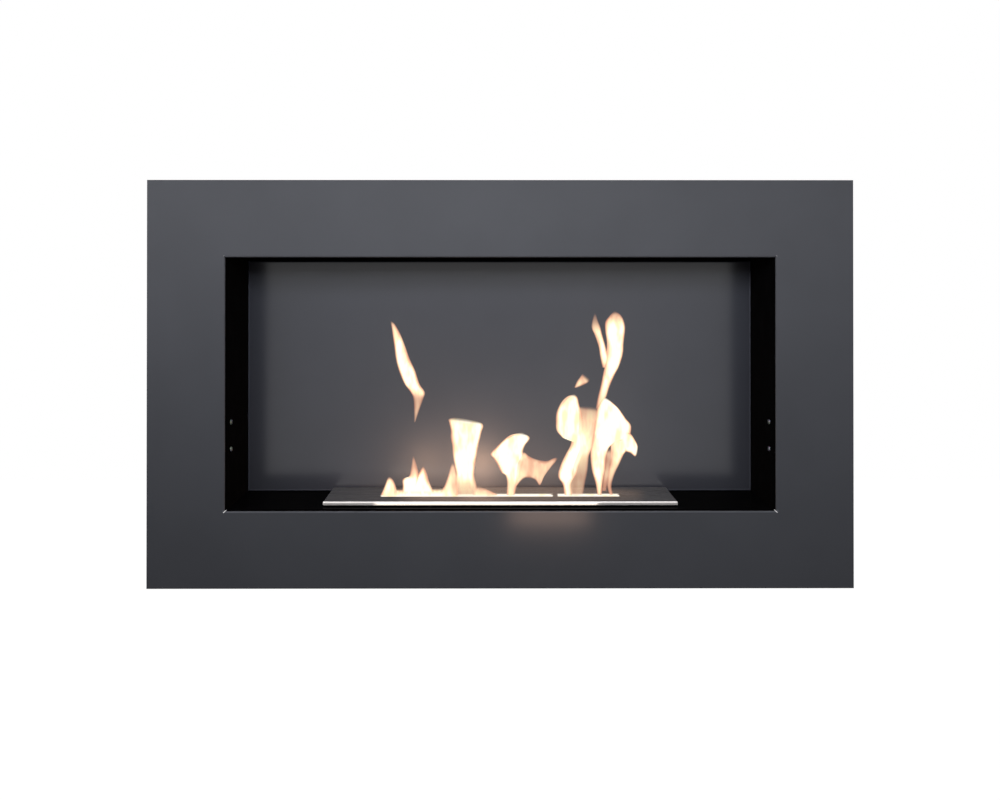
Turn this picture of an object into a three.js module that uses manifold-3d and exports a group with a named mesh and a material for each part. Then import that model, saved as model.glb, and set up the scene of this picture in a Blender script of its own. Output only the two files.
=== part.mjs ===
// A wall-hung bioethanol fireplace: a folded steel front frame round an open firebox, a black sheet casing
// behind it, a steel back panel, and a lift-out slot burner with a sliding shutter under its top plate.
//
// Millimetres. +X is right and +Z is up, seen from the room, and the room is towards -Y.
// The origin is on the wall, at the middle of the casing's rear face, level with the middle of the frame.
// Inside the group named "unit", y is the depth behind the front face.

import * as THREE from 'three';
import { mergeVertices } from 'three/addons/utils/BufferGeometryUtils.js';
import Module from 'manifold-3d';

const wasm = await Module();
wasm.setup();

// ---- Driving dimensions -------------------------------------------------------------------------------

const FRAME_WIDTH = 900;
const FRAME_HEIGHT = 520;
const UNIT_DEPTH = 150; // front face to wall
const SIDE_BORDER = 99.5; // frame's outer edge to the opening, left and right
const CROSS_BORDER = 98.5; // and above and below
const RIM_DEPTH = 15; // outer edge of the frame, folded back
const LIP_DEPTH = 16; // edge of the opening, folded back into the firebox
const MITRE_SLIT = 0.7; // open seam where two lips meet at a corner
const BODY_SHEET = 1.5; // steel of the frame, casing, floor and back panel
const INNER_BEND = 0.5; // inside radius of every fold
const SEAT_GAP = 0.3; // between two pieces that bear on each other
const SEAM_GAP = 0.05; // between two sheets whose seam keeps light out
const SEAM_FLANGE = 12; // folded edges that the casing is welded by

const PANEL_STANDOFF = 10; // back panel's face to the wall
const PANEL_SIDE_GAP = 0.5;
const PANEL_TOP_GAP = 3; // warm air leaves here from behind the panel
const HOOK_SHEET = 1.2;
const HOOK_WIDTH = 60;
const HOOK_INSET = 150.5; // side wall to the middle of the hooks
const HOOK_DROP = 121.5; // ceiling to the foot of the strips on the casing's back
const HOOK_FOOT = 17; // flat part of a strip, on its sheet
const HOOK_CRANK = 4; // height over which a strip stands off its sheet
const HOOK_LIP = 15; // upright part that engages with the other strip's
const HOOK_REST = 1; // between the two, above the lip on the casing's back

const KEYHOLE_INSET = 70.5; // side wall to the keyholes
const KEYHOLE_FALL = 51.5; // ceiling to the middle of the entry hole
const KEYHOLE_HEAD_RADIUS = 6;
const KEYHOLE_NECK_RADIUS = 3;
const KEYHOLE_DROP = 12; // neck end above the entry hole
const HANG_PLATE_WIDTH = 46;
const HANG_PLATE_HEIGHT = 64;
const HANG_PLATE_SHEET = 2;
const LOCK_HOLE_RADIUS = 3.5;
const LOCK_HOLE_RISE = 22; // above the casing's bottom

const BRACKET_LEG = 24;
const BRACKET_REACH = 46; // behind the front face
const BRACKET_RIM_GAP = 2.7; // lower bracket to the frame's rim
const SIDE_BRACKET_INSET = 31.5; // ends, from the opening's corners
const CROSS_BRACKET_INSET = 90.5;
const CROSS_SCREW_INSET = 50; // from the bracket's ends

const SCREW_RADIUS = 2;
const SCREW_TIP_RADIUS = 1.2;
const SCREW_TIP = 1; // length of the tapered end
const SIDE_SCREW_LENGTH = 6.5;
const SCREW_HEAD_RADIUS = 3.6;
const SCREW_HEAD_HEIGHT = 2.6;
const SCREW_HEAD_RIM = 0.8; // straight edge under the dome
const RECESS_SPAN = 4; // cross recess, end to end
const RECESS_WIDTH = 0.8;
const RECESS_DEPTH = 1.2;
const SIDE_SCREW_SETBACK = 33; // behind the front face
const SIDE_SCREW_DROP = 52; // upper screw, below the middle of the frame
const SIDE_SCREW_PITCH = 35;

const VENT_COUNT = 11;
const VENT_LENGTH = 36;
const VENT_WIDTH = 5;
const VENT_INSET = 42.5; // side wall to the row of slots
const VENT_EDGE = 14; // from the casing's rear seam to the row of slots

const LEDGE_LEG = 20;
const CROSSBAR_DROP = 26;
const COLLAR_HEIGHT = 3.8; // upturned edge round the burner's cut-out

const PLATE_WIDTH = 460;
const PLATE_DEPTH = 101.5;
const PLATE_BACK_GAP = 8.5; // plate's rear edge to the back panel
const PLATE_SHEET = 1.5;
const PLATE_LIP = 5.2; // folded edge, seen as the bright front line
const SLOT_DEPTH = 19.3;
const SLOT_FORWARD = 9.1; // middle of the slots, in front of the plate's
const SLOT_INSET = 71.15; // plate's ends to the slots
const SLOT_WEB = 5.7;
const SHORT_SLOT = 82.5;

const TANK_SIDE_INSET = 20; // from the plate's edges
const TANK_FRONT_INSET = 10.75;
const TANK_HEIGHT = 55;
const TANK_SHEET = 1.2;
const TANK_CLEARANCE = 2; // to the cut-out's collar
const FLANGE_CLEARANCE = 0.4; // tank flange inside the plate's folded edge

const GRILLE_SHEET = 1;
const GRILLE_DROP = 6.5; // plate's top face to the grille
const GRILLE_HOLE_RADIUS = 2.6;
const GRILLE_PITCH = 11;
const GRILLE_MARGIN = 8;
const WOOL_SIDE_GAP = 0.5;

const SHUTTER_SHEET = 1.2;
const SHUTTER_END_LAP = 9; // past each end of the slots
const SHUTTER_FRONT_LAP = 1.2; // in front of the slots when shut
const SHUTTER_BACK_LAP = 5.5; // behind them when shut
const SHUTTER_LIP = 3;
const SHUTTER_OPEN_GAP = 2; // behind the slots when open
const GUIDE_SHEET = 1.2;
const GUIDE_SHELF = 8; // under each end of the shutter
const GUIDE_FLANGE = 11; // welded under the plate
const GUIDE_END_GAP = 2; // past the shutter's way, front and back

const HOLE_REACH = 20; // length of the bars and bits that cut holes
const OVERCUT = 1; // how far other cuts run past the metal
const LIP_LAP = 0.5; // the frame's lips into its face, before they are joined

// ---- Places worked out from them ----------------------------------------------------------------------

const OPENING_WIDTH = FRAME_WIDTH - 2 * SIDE_BORDER;
const OPENING_HEIGHT = FRAME_HEIGHT - 2 * CROSS_BORDER;
const FLOOR_Z = -OPENING_HEIGHT / 2;
const CEILING_Z = OPENING_HEIGHT / 2;
const WALL_X = OPENING_WIDTH / 2;
const OUTER_X = WALL_X + BODY_SHEET;
const CASING_FRONT = LIP_DEPTH + SEAT_GAP;
const CASING_TOP_Z = CEILING_Z + BODY_SHEET;
const CASING_BOTTOM_Z = -FRAME_HEIGHT / 2 + BODY_SHEET + BRACKET_RIM_GAP + BRACKET_LEG + SEAT_GAP;
const SEAM_DEPTH = UNIT_DEPTH - BODY_SHEET - SEAT_GAP; // rear side of the folded seams
const PANEL_SETBACK = UNIT_DEPTH - PANEL_STANDOFF;
const PANEL_TRAY = SEAM_DEPTH - BODY_SHEET - SEAT_GAP - PANEL_SETBACK;
const FLOOR_BACK = PANEL_SETBACK - SEAT_GAP;
const FLOOR_HALF = WALL_X - SEAT_GAP;
const LEDGE_Z = FLOOR_Z - BODY_SHEET - SEAT_GAP;

// In the burner, z = 0 is the plate's top face and y = 0 its middle.
const TANK_WIDTH = PLATE_WIDTH - 2 * TANK_SIDE_INSET;
const TANK_DEPTH = PLATE_DEPTH - 2 * TANK_FRONT_INSET;
const UNDER_PLATE = -PLATE_SHEET - SEAT_GAP; // top of what bears on the plate's underside
const TANK_BASE = UNDER_PLATE - TANK_HEIGHT;
const PLATE_TOP_Z = FLOOR_Z + COLLAR_HEIGHT + SEAT_GAP + TANK_SHEET - UNDER_PLATE;
const BURNER_DEPTH = PANEL_SETBACK - PLATE_BACK_GAP - PLATE_DEPTH / 2;
const CUTOUT_WIDTH = TANK_WIDTH + 2 * TANK_CLEARANCE;
const CUTOUT_DEPTH = TANK_DEPTH + 2 * TANK_CLEARANCE;
const SLOTS_HALF = PLATE_WIDTH / 2 - SLOT_INSET;
const SLOT_FRONT = -SLOT_FORWARD - SLOT_DEPTH / 2;
const SLOT_BACK = SLOT_FRONT + SLOT_DEPTH;
const GRILLE_TOP = -GRILLE_DROP;
const SHUTTER_HALF = SLOTS_HALF + SHUTTER_END_LAP;
const SHUTTER_WIDTH = SHUTTER_FRONT_LAP + SLOT_DEPTH + SHUTTER_BACK_LAP;
const SHUTTER_FRONT = SLOT_BACK + SHUTTER_OPEN_GAP;
const SHUTTER_SHUT = SLOT_FRONT - SHUTTER_FRONT_LAP; // its front edge, slid shut

// ---- Finishes -----------------------------------------------------------------------------------------

function finish(color, roughness, metalness) {
  return new THREE.MeshStandardMaterial({ color, roughness, metalness });
}

const graphitePaint = finish(0x55565b, 0.5, 0.3);
const blackPaint = finish(0x0a0a0b, 0.45, 0.2);
const brushedSteel = finish(0xb9b6b4, 0.3, 1);
const zincPlate = finish(0x9a9da1, 0.4, 0.9);
const ceramicWool = finish(0xe9e4da, 1, 0);

// ---- Solids and sheet work ----------------------------------------------------------------------------

function toSolid(geometry) {
  const bare = geometry.clone();
  bare.deleteAttribute('normal');
  bare.deleteAttribute('uv');
  const merged = mergeVertices(bare, 1e-4);
  return new wasm.Manifold(new wasm.Mesh({
    numProp: 3,
    vertProperties: new Float32Array(merged.attributes.position.array),
    triVerts: new Uint32Array(merged.index.array),
  }));
}

function toGeometry(solid) {
  const { vertProperties, triVerts } = solid.getMesh();
  const geometry = new THREE.BufferGeometry();
  geometry.setAttribute('position', new THREE.BufferAttribute(vertProperties, 3));
  geometry.setIndex(new THREE.BufferAttribute(triVerts, 1));
  geometry.computeVertexNormals();
  return geometry;
}

const join = (first, ...others) => others.reduce((all, other) => all.add(other), first);
const cut = (first, ...others) => others.reduce((rest, other) => rest.subtract(other), first);

function block(x0, x1, y0, y1, z0, z1) {
  const geometry = new THREE.BoxGeometry(x1 - x0, y1 - y0, z1 - z0);
  geometry.translate((x0 + x1) / 2, (y0 + y1) / 2, (z0 + z1) / 2);
  return toSolid(geometry);
}

// A block from |x| = near to |x| = far on one side.
function sideBlock(side, near, far, y0, y1, z0, z1) {
  return side > 0 ? block(near, far, y0, y1, z0, z1) : block(-far, -near, y0, y1, z0, z1);
}

function extrude(points, length) {
  return new THREE.ExtrudeGeometry(new THREE.Shape(points), { depth: length, bevelEnabled: false });
}

// A section drawn in x and y, drawn out from z0 to z1.
function alongZ(points, z0, z1) {
  return toSolid(extrude(points, z1 - z0).translate(0, 0, z0));
}

// A section drawn in y and z, drawn out from x0 to x1.
function alongX(points, x0, x1) {
  const turn = new THREE.Matrix4().set(0, 0, 1, x0, 1, 0, 0, 0, 0, 1, 0, 0, 0, 0, 0, 1);
  return toSolid(extrude(points, x1 - x0).applyMatrix4(turn));
}

// An outline drawn in x and z, as a plate from y0 to y1.
function alongY(points, y0, y1) {
  return toSolid(extrude(points, y1 - y0).rotateX(Math.PI / 2).translate(0, y1, 0));
}

// A round bar along one axis, for holes.
function bar(axis, radius, length, x, y, z, sides = 16) {
  const geometry = new THREE.CylinderGeometry(radius, radius, length, sides);
  if (axis === 'x') geometry.rotateZ(Math.PI / 2);
  if (axis === 'z') geometry.rotateX(Math.PI / 2);
  return toSolid(geometry.translate(x, y, z));
}

const swap = (points) => points.map((p) => new THREE.Vector2(p.y, p.x));
const shift = (points, u, v) => points.map((p) => new THREE.Vector2(p.x + u, p.y + v));

function arcPoints(cx, cy, radius, from, to, steps = 4) {
  const at = (i) => from + ((to - from) * i) / steps;
  return Array.from({ length: steps + 1 }, (_, i) => new THREE.Vector2(
    cx + radius * Math.cos(at(i)),
    cy + radius * Math.sin(at(i)),
  ));
}

// The section of a folded angle. Its outer corner is at (0, 0), and its legs point the way of their signs.
function angleSection(legU, legV, sheet) {
  const outer = sheet + INNER_BEND;
  const u = Math.abs(legU);
  const v = Math.abs(legV);
  const points = [
    new THREE.Vector2(u, 0),
    new THREE.Vector2(u, sheet),
    ...arcPoints(outer, outer, INNER_BEND, -Math.PI / 2, -Math.PI),
    new THREE.Vector2(sheet, v),
    new THREE.Vector2(0, v),
    ...arcPoints(outer, outer, outer, Math.PI, 1.5 * Math.PI),
  ];
  return points.map((p) => new THREE.Vector2(p.x * Math.sign(legU), p.y * Math.sign(legV)));
}

// The section of a sheet folded at each inner point of a line that runs through the middle of its thickness.
function foldedSection(line, sheet) {
  const radius = INNER_BEND + sheet / 2;
  const left = [];
  const right = [];
  const lay = (x, y, heading) => {
    const nx = (-Math.sin(heading) * sheet) / 2;
    const ny = (Math.cos(heading) * sheet) / 2;
    left.push(new THREE.Vector2(x + nx, y + ny));
    right.unshift(new THREE.Vector2(x - nx, y - ny));
  };
  line.forEach(([x, y], i) => {
    const before = i > 0 && Math.atan2(y - line[i - 1][1], x - line[i - 1][0]);
    const after = i < line.length - 1 && Math.atan2(line[i + 1][1] - y, line[i + 1][0] - x);
    if (before === false || after === false) {
      lay(x, y, before === false ? after : before);
      return;
    }
    const turn = Math.atan2(Math.sin(after - before), Math.cos(after - before));
    const back = radius * Math.tan(Math.abs(turn) / 2);
    const side = Math.sign(turn);
    const startX = x - back * Math.cos(before);
    const startY = y - back * Math.sin(before);
    const centreX = startX - side * radius * Math.sin(before);
    const centreY = startY + side * radius * Math.cos(before);
    for (let step = 0; step <= 3; step += 1) {
      const heading = before + (turn * step) / 3;
      const px = centreX + side * radius * Math.sin(heading);
      const py = centreY - side * radius * Math.cos(heading);
      lay(px, py, heading);
    }
  });
  return [...left, ...right];
}

// A tray folded from one sheet: its face is at y = 0, its folded edges run to y = depth, and it is open there.
function foldedTray(width, height, depth, sheet) {
  const section = (size, inset, radius) => [
    new THREE.Vector2(-size / 2 + inset, depth + inset),
    ...arcPoints(-size / 2 + inset + radius, inset + radius, radius, Math.PI, 1.5 * Math.PI),
    ...arcPoints(size / 2 - inset - radius, inset + radius, radius, 1.5 * Math.PI, 2 * Math.PI),
    new THREE.Vector2(size / 2 - inset, depth + inset),
  ];
  const body = (inset, radius) => alongZ(section(width, inset, radius), -height / 2 + inset, height / 2 - inset)
    .intersect(alongX(swap(section(height, inset, radius)), -width / 2 + inset, width / 2 - inset));
  return cut(body(0, sheet + INNER_BEND), body(sheet, INNER_BEND));
}

// Small open notches at the corners of a folded tray, where its blank was cut back to fold.
function cornerNotches(width, height, depth, start, size) {
  const notches = [];
  for (const sx of [-1, 1]) {
    for (const sz of [-1, 1]) {
      const x = (sx * width) / 2;
      const z = (sz * height) / 2;
      notches.push(block(x - size, x + size, start, depth + OVERCUT, z - size, z + size));
    }
  }
  return notches;
}

function piece(name, solid, material, place = [0, 0, 0]) {
  const mesh = new THREE.Mesh(toGeometry(solid), material);
  mesh.name = name;
  mesh.position.set(...place);
  return mesh;
}

function rectangle(width, height) {
  const w = width / 2;
  const h = height / 2;
  return [[-w, -h], [w, -h], [w, h], [-w, h]].map(([x, y]) => new THREE.Vector2(x, y));
}

// ---- Front frame --------------------------------------------------------------------------------------

// The section of one folded lip, in distance from the opening's edge and depth.
function lipSection(edge, outward) {
  const radius = BODY_SHEET + INNER_BEND;
  const lap = radius + LIP_LAP;
  const points = [
    new THREE.Vector2(lap, 0),
    ...arcPoints(radius, radius, radius, 1.5 * Math.PI, Math.PI),
    new THREE.Vector2(0, LIP_DEPTH),
    new THREE.Vector2(BODY_SHEET, LIP_DEPTH),
    ...arcPoints(radius, radius, INNER_BEND, Math.PI, 1.5 * Math.PI),
    new THREE.Vector2(lap, BODY_SHEET),
  ];
  return points.map((p) => new THREE.Vector2(edge + outward * p.x, p.y));
}

function frontFrame() {
  const radius = BODY_SHEET + INNER_BEND;
  const shell = foldedTray(FRAME_WIDTH, FRAME_HEIGHT, RIM_DEPTH, BODY_SHEET);
  const window = block(
    -WALL_X - radius,
    WALL_X + radius,
    -OVERCUT,
    BODY_SHEET + OVERCUT,
    FLOOR_Z - radius,
    CEILING_Z + radius,
  );
  const lipX = WALL_X + radius;
  const lipZ = CEILING_Z + radius;
  const lips = [
    alongX(swap(lipSection(CEILING_Z, 1)), -lipX, lipX),
    alongX(swap(lipSection(FLOOR_Z, -1)), -lipX, lipX),
    alongZ(lipSection(WALL_X, 1), -lipZ, lipZ),
    alongZ(lipSection(-WALL_X, -1), -lipZ, lipZ),
  ];
  return piece('front_frame', cut(join(cut(shell, window), ...lips), ...mitreSlits(radius)), graphitePaint);
}

// A narrow diagonal cut at each corner of the opening, out to where the fold of the lips ends.
function mitreSlits(radius) {
  const corners = [[-1, -1], [1, -1], [1, 1], [-1, 1]];
  return corners.map(([sx, sz]) => {
    const slit = new THREE.BoxGeometry(2 * Math.SQRT2 * radius, LIP_DEPTH + 2 * OVERCUT, MITRE_SLIT);
    slit.rotateY((-sx * sz * Math.PI) / 4);
    return toSolid(slit.translate(sx * WALL_X, LIP_DEPTH / 2, sz * CEILING_Z));
  });
}

// ---- Angles that join the frame to the casing ---------------------------------------------------------

const bracketFront = BODY_SHEET + SEAT_GAP;
const bracketRun = BRACKET_REACH - bracketFront;
const sideBracketHalf = OPENING_HEIGHT / 2 - SIDE_BRACKET_INSET;
const crossBracketHalf = OPENING_WIDTH / 2 - CROSS_BRACKET_INSET;
const sideScrewZ = [-SIDE_SCREW_DROP, -SIDE_SCREW_DROP - SIDE_SCREW_PITCH];
const crossScrewX = [-1, 0, 1].map((i) => i * (crossBracketHalf - CROSS_SCREW_INSET));
const holeRadius = SCREW_RADIUS + SEAT_GAP;

function sideBracket(name, side) {
  const corner = side * (OUTER_X + SEAT_GAP);
  const section = shift(angleSection(side * BRACKET_LEG, bracketRun, BODY_SHEET), corner, bracketFront);
  const angle = alongZ(section, -sideBracketHalf, sideBracketHalf);
  const holes = sideScrewZ.map((z) => bar('x', holeRadius, HOLE_REACH, corner, SIDE_SCREW_SETBACK, z));
  return piece(name, cut(angle, ...holes), blackPaint);
}

function crossBracket(name, side, casingZ) {
  const corner = casingZ + side * SEAT_GAP;
  const section = shift(angleSection(bracketRun, side * BRACKET_LEG, BODY_SHEET), bracketFront, corner);
  const angle = alongX(section, -crossBracketHalf, crossBracketHalf);
  const holes = crossScrewX.map((x) => bar('z', holeRadius, HOLE_REACH, x, SIDE_SCREW_SETBACK, corner));
  return piece(name, cut(angle, ...holes), blackPaint);
}

// A pan-head screw with a cross recess. Its head points along +Y and bears at y = 0.
function screwSolid(length) {
  const dome = arcPoints(0, 0, 1, 0, Math.PI / 2).map((p) => new THREE.Vector2(
    p.x * SCREW_HEAD_RADIUS,
    SCREW_HEAD_RIM + p.y * (SCREW_HEAD_HEIGHT - SCREW_HEAD_RIM),
  ));
  const profile = [
    new THREE.Vector2(0, -length),
    new THREE.Vector2(SCREW_TIP_RADIUS, -length),
    new THREE.Vector2(SCREW_RADIUS, -length + SCREW_TIP),
    new THREE.Vector2(SCREW_RADIUS, 0),
    new THREE.Vector2(SCREW_HEAD_RADIUS, 0),
    ...dome.slice(0, -1),
    new THREE.Vector2(0, SCREW_HEAD_HEIGHT),
  ];
  const blank = toSolid(new THREE.LatheGeometry(profile, 14));
  const arm = RECESS_SPAN / 2;
  const web = RECESS_WIDTH / 2;
  const low = SCREW_HEAD_HEIGHT - RECESS_DEPTH;
  const high = SCREW_HEAD_HEIGHT + OVERCUT;
  return cut(blank, block(-arm, arm, low, high, -web, web), block(-web, web, low, high, -arm, arm));
}

function screws() {
  const group = new THREE.Group();
  const sideScrew = screwSolid(SIDE_SCREW_LENGTH);
  for (const [side, sign] of [['left', -1], ['right', 1]]) {
    sideScrewZ.forEach((z, i) => {
      const place = [sign * (WALL_X - SEAT_GAP), SIDE_SCREW_SETBACK, z];
      const screw = piece(`side_screw_${side}_${i + 1}`, sideScrew, zincPlate, place);
      screw.rotation.z = (sign * Math.PI) / 2;
      group.add(screw);
    });
  }
  // These end level with the casing's inner face, so nothing shows in the firebox.
  const bearing = BODY_SHEET + 2 * SEAT_GAP;
  const crossScrew = screwSolid(bearing + BODY_SHEET);
  for (const [row, sign, z] of [['top', 1, CASING_TOP_Z], ['bottom', -1, CASING_BOTTOM_Z]]) {
    crossScrewX.forEach((x, i) => {
      const place = [x, SIDE_SCREW_SETBACK, z + sign * bearing];
      const screw = piece(`${row}_screw_${i + 1}`, crossScrew, zincPlate, place);
      screw.rotation.x = (sign * Math.PI) / 2;
      group.add(screw);
    });
  }
  return group;
}

// ---- Casing -------------------------------------------------------------------------------------------

function casingSide(name, side) {
  const run = SEAM_DEPTH - CASING_FRONT;
  const section = shift(angleSection(-side * SEAM_FLANGE, -run, BODY_SHEET), side * OUTER_X, SEAM_DEPTH);
  const wall = alongZ(section, CASING_BOTTOM_Z + BODY_SHEET + SEAT_GAP, CEILING_Z - SEAM_GAP);
  const holes = sideScrewZ.map((z) => bar('x', holeRadius, HOLE_REACH, side * WALL_X, SIDE_SCREW_SETBACK, z));
  return piece(name, cut(wall, ...holes), blackPaint);
}

// Beyond this the seams of the top and bottom stop, clear of the seams of the sides.
const seamEnd = WALL_X - SEAM_FLANGE;

function casingTop() {
  const run = SEAM_DEPTH - CASING_FRONT;
  const section = shift(angleSection(-run, -SEAM_FLANGE, BODY_SHEET), SEAM_DEPTH, CASING_TOP_Z);
  const sheet = alongX(section, -OUTER_X, OUTER_X);
  const behind = SEAM_DEPTH - 2 * (BODY_SHEET + INNER_BEND);
  const trims = [-1, 1].map((side) => sideBlock(
    side,
    seamEnd,
    OUTER_X + OVERCUT,
    behind,
    UNIT_DEPTH,
    CEILING_Z - SEAM_FLANGE - OVERCUT,
    CEILING_Z,
  ));
  const holes = crossScrewX.map((x) => bar('z', holeRadius, HOLE_REACH, x, SIDE_SCREW_SETBACK, CEILING_Z));
  return piece('casing_top', cut(sheet, ...trims, ...holes), blackPaint);
}

function casingBottom() {
  const middle = BODY_SHEET / 2;
  const inside = CASING_BOTTOM_Z + BODY_SHEET;
  const section = foldedSection([
    [CASING_FRONT + middle, LEDGE_Z],
    [CASING_FRONT + middle, CASING_BOTTOM_Z + middle],
    [SEAM_DEPTH - middle, CASING_BOTTOM_Z + middle],
    [SEAM_DEPTH - middle, inside + SEAM_FLANGE],
  ], BODY_SHEET);
  const sheet = alongX(section, -OUTER_X, OUTER_X);
  const outer = OUTER_X + OVERCUT;
  const trims = [-1, 1].flatMap((side) => [
    sideBlock(side, FLOOR_HALF, outer, 0, SEAM_DEPTH / 2, inside, LEDGE_Z + OVERCUT),
    sideBlock(side, seamEnd, outer, SEAM_DEPTH / 2, UNIT_DEPTH, inside, LEDGE_Z + OVERCUT),
  ]);
  const holes = crossScrewX.map((x) => bar('z', holeRadius, HOLE_REACH, x, SIDE_SCREW_SETBACK, inside));
  return piece('casing_bottom', cut(sheet, ...trims, ...vents(inside), ...holes), blackPaint);
}

// A row of slots with round ends, along the rear of the casing's bottom.
function vents(z) {
  const y = SEAM_DEPTH - BODY_SHEET - VENT_EDGE;
  const straight = VENT_LENGTH - VENT_WIDTH;
  const pitch = (OPENING_WIDTH - 2 * VENT_INSET - VENT_LENGTH) / (VENT_COUNT - 1);
  return Array.from({ length: VENT_COUNT }, (_, i) => {
    const x = (i - (VENT_COUNT - 1) / 2) * pitch;
    const ends = [-1, 1].map((end) => bar('z', VENT_WIDTH / 2, HOLE_REACH, x + (end * straight) / 2, y, z, 12));
    const slot = shift(rectangle(straight, VENT_WIDTH), x, y);
    return join(alongZ(slot, z - HOLE_REACH / 2, z + HOLE_REACH / 2), ...ends);
  });
}

const keyholeX = [KEYHOLE_INSET - WALL_X, WALL_X - KEYHOLE_INSET];
const keyholeZ = CEILING_Z - KEYHOLE_FALL;

// A keyhole: a round entry for a wall screw's head, and a neck above it that hangs on the shank.
function keyhole(x, y) {
  const neckTop = keyholeZ + KEYHOLE_DROP;
  const [r, reach] = [KEYHOLE_NECK_RADIUS, HOLE_REACH / 2];
  return join(
    bar('y', KEYHOLE_HEAD_RADIUS, HOLE_REACH, x, y, keyholeZ, 20),
    bar('y', KEYHOLE_NECK_RADIUS, HOLE_REACH, x, y, neckTop, 16),
    block(x - r, x + r, y - reach, y + reach, keyholeZ, neckTop),
  );
}

function casingBack() {
  const sheet = block(-OUTER_X, OUTER_X, UNIT_DEPTH - BODY_SHEET, UNIT_DEPTH, CASING_BOTTOM_Z, CASING_TOP_Z);
  const holes = keyholeX.flatMap((x) => [
    keyhole(x, UNIT_DEPTH),
    bar('y', LOCK_HOLE_RADIUS, HOLE_REACH, x, UNIT_DEPTH, CASING_BOTTOM_Z + LOCK_HOLE_RISE),
  ]);
  return piece('casing_back', cut(sheet, ...holes), blackPaint);
}

// Stiffening plates inside the casing's back, round the keyholes.
function hangPlate(name, x) {
  const back = UNIT_DEPTH - BODY_SHEET - SEAT_GAP;
  const middle = keyholeZ + KEYHOLE_DROP / 2;
  const outline = shift(rectangle(HANG_PLATE_WIDTH, HANG_PLATE_HEIGHT), x, middle);
  const plate = alongY(outline, back - HANG_PLATE_SHEET, back);
  return piece(name, cut(plate, keyhole(x, back)), zincPlate);
}

// ---- Back panel and its hooks -------------------------------------------------------------------------

function backPanel() {
  const width = OPENING_WIDTH - 2 * PANEL_SIDE_GAP;
  const height = OPENING_HEIGHT - PANEL_TOP_GAP - SEAT_GAP;
  const tray = foldedTray(width, height, PANEL_TRAY, BODY_SHEET);
  const notches = cornerNotches(width, height, PANEL_TRAY, BODY_SHEET + INNER_BEND, 2 * BODY_SHEET);
  const place = [0, PANEL_SETBACK, FLOOR_Z + SEAT_GAP + height / 2];
  return piece('back_panel', cut(tray, ...notches), graphitePaint, place);
}

// A cranked strip on the casing's back stands forward at its top, and one on the panel hooks down behind it.
const wallStripY = UNIT_DEPTH - BODY_SHEET - SEAT_GAP - HOOK_SHEET / 2;
const panelStripY = PANEL_SETBACK + BODY_SHEET + SEAT_GAP + HOOK_SHEET / 2;
const catchY = (wallStripY + panelStripY) / 2; // the wall strip's lip
const hookY = catchY + HOOK_SHEET + SEAT_GAP; // the panel strip's lip
const hookX = WALL_X - HOOK_INSET;
const wallStripZ = CEILING_Z - HOOK_DROP;
const panelStripZ = wallStripZ + 2 * (HOOK_FOOT + HOOK_CRANK) + HOOK_LIP + HOOK_REST;

// The foot lies on its sheet at footY. The lip stands above it where rise is 1, and hangs below where it is -1.
function crankedStrip(name, x, z, footY, lipY, rise) {
  const crank = rise * HOOK_FOOT;
  const lip = crank + rise * HOOK_CRANK;
  const end = lip + rise * HOOK_LIP;
  const section = foldedSection([[footY, 0], [footY, crank], [lipY, lip], [lipY, end]], HOOK_SHEET);
  const half = HOOK_WIDTH / 2;
  return piece(name, alongX(section, -half, half), zincPlate, [x, 0, z]);
}

// ---- Firebox floor ------------------------------------------------------------------------------------

function floorPanel() {
  const section = shift(angleSection(CASING_FRONT - FLOOR_BACK, -SEAM_FLANGE, BODY_SHEET), FLOOR_BACK, FLOOR_Z);
  const sheet = alongX(section, -FLOOR_HALF, FLOOR_HALF);
  const collarWidth = CUTOUT_WIDTH + 2 * BODY_SHEET;
  const collarDepth = CUTOUT_DEPTH + 2 * BODY_SHEET;
  const underside = FLOOR_Z - BODY_SHEET;
  const collarTop = FLOOR_Z + COLLAR_HEIGHT;
  const collar = alongZ(shift(rectangle(collarWidth, collarDepth), 0, BURNER_DEPTH), underside, collarTop);
  const opening = shift(rectangle(CUTOUT_WIDTH, CUTOUT_DEPTH), 0, BURNER_DEPTH);
  const cutout = alongZ(opening, underside - OVERCUT, collarTop + OVERCUT);
  return piece('floor_panel', cut(join(sheet, collar), cutout), blackPaint);
}

const ledgeFront = CASING_FRONT + BODY_SHEET + SEAT_GAP;
const ledgeBack = FLOOR_BACK - BODY_SHEET - SEAT_GAP;

function floorLedge(name, side) {
  const section = angleSection(-side * LEDGE_LEG, -LEDGE_LEG, BODY_SHEET);
  const upright = alongZ(section, -ledgeBack, -ledgeFront);
  const mesh = piece(name, upright, blackPaint, [side * FLOOR_HALF, 0, LEDGE_Z]);
  mesh.rotation.x = Math.PI / 2;
  return mesh;
}

// The crossbars carry the floor in front of and behind the burner.
function crossbar(name, from, to) {
  const section = angleSection(to - from, -CROSSBAR_DROP, BODY_SHEET);
  const half = FLOOR_HALF - LEDGE_LEG - SEAT_GAP;
  return piece(name, alongX(section, -half, half), blackPaint, [0, from, LEDGE_Z]);
}

// ---- Burner -------------------------------------------------------------------------------------------

// One long slot and, past a narrow web, one short slot.
function burnerPlate() {
  const tray = foldedTray(PLATE_WIDTH, PLATE_DEPTH, PLATE_LIP, PLATE_SHEET);
  const shortStart = SLOTS_HALF - SHORT_SLOT;
  const slots = [[-SLOTS_HALF, shortStart - SLOT_WEB], [shortStart, SLOTS_HALF]];
  const low = -OVERCUT;
  const high = PLATE_SHEET + OVERCUT;
  const cuts = slots.map(([from, to]) => block(from, to, low, high, SLOT_FRONT, SLOT_BACK));
  const mesh = piece('burner_plate', cut(tray, ...cuts), brushedSteel);
  mesh.rotation.x = -Math.PI / 2;
  return mesh;
}

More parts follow.
